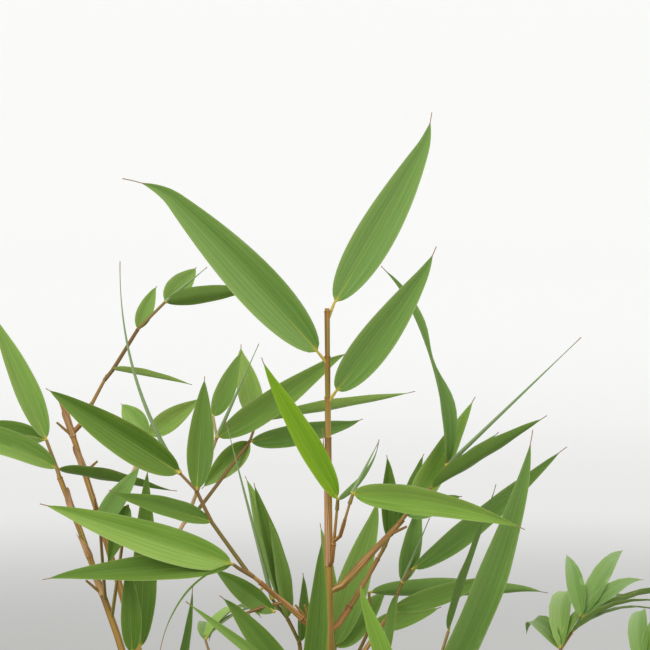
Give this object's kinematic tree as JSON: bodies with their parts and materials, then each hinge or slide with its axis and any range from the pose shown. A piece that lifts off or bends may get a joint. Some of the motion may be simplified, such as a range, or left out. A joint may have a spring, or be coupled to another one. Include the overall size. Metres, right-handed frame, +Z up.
{
  "type": "potted bamboo",
  "caption": "Clump-forming bamboo in a plain clay pot: thin noded canes with side branches and sprays of long narrow pointed leaves, fuller low down and open at the top.",
  "frame": {"origin": "the middle of the pot's flat underside, on the surface that it stands on", "axes": "+Z up along the leader, the tallest cane. The front of the plant, where the young shoots are, faces -Y. +X is to its right seen from the front."},
  "size_m": [0.4281, 0.4177, 0.6421],
  "materials": {
    "clay": "matte unglazed",
    "compost": "rough, crumbly",
    "cane": "satin",
    "branch": "satin",
    "leaf": "satin",
    "young_leaf": "satin"
  },
  "bodies": {
    "root": {"pot": "clay", "compost": "compost", "cane_leader": "cane", "cane_left": "cane", "cane_left_back": "cane", "cane_left_front": "cane", "cane_front": "cane", "cane_front_right": "cane", "cane_right": "cane", "cane_right_back": "cane", "cane_back": "cane", "cane_back_left": "cane", "branch_right": "branch", "branch_inner": "branch", "branch_low_right": "branch", "branch_left": "branch", "branch_centre": "branch", "branch_young": "branch", "branch_fork": "branch", "branch_far": "branch", "branch_far_left": "branch", "branch_far_top": "branch", "leaf_top_left": "leaf", "leaf_top": "leaf", "leaf_top_right": "leaf", "spray_young": "young_leaf", "spray_fork": "leaf", "spray_right": "leaf", "spray_inner": "leaf", "spray_low_right": "leaf", "spray_right_far": "leaf", "spray_front_right": "leaf", "spray_front": "leaf", "spray_left": "leaf", "spray_left_low": "leaf", "leaf_left_under": "leaf", "spray_left_foot": "leaf", "spray_centre": "leaf", "spray_back": "leaf", "spray_far": "leaf", "spray_far_right": "leaf", "spray_far_left": "leaf", "spray_far_top": "leaf", "leaf_left_upright": "leaf", "spray_left_tip": "leaf", "spray_left_low_edge": "leaf", "foliage_right_tip": "leaf", "foliage_right": "leaf", "foliage_right_low": "leaf", "foliage_right_back_tip": "leaf", "foliage_right_back": "leaf", "foliage_back": "leaf", "foliage_back_left_tip": "leaf", "foliage_back_left": "leaf", "foliage_left_back": "leaf", "foliage_left": "leaf", "foliage_left_front_tip": "leaf", "foliage_left_front": "leaf", "foliage_front": "leaf", "foliage_front_right": "leaf"}
  },
  "joints": []
}
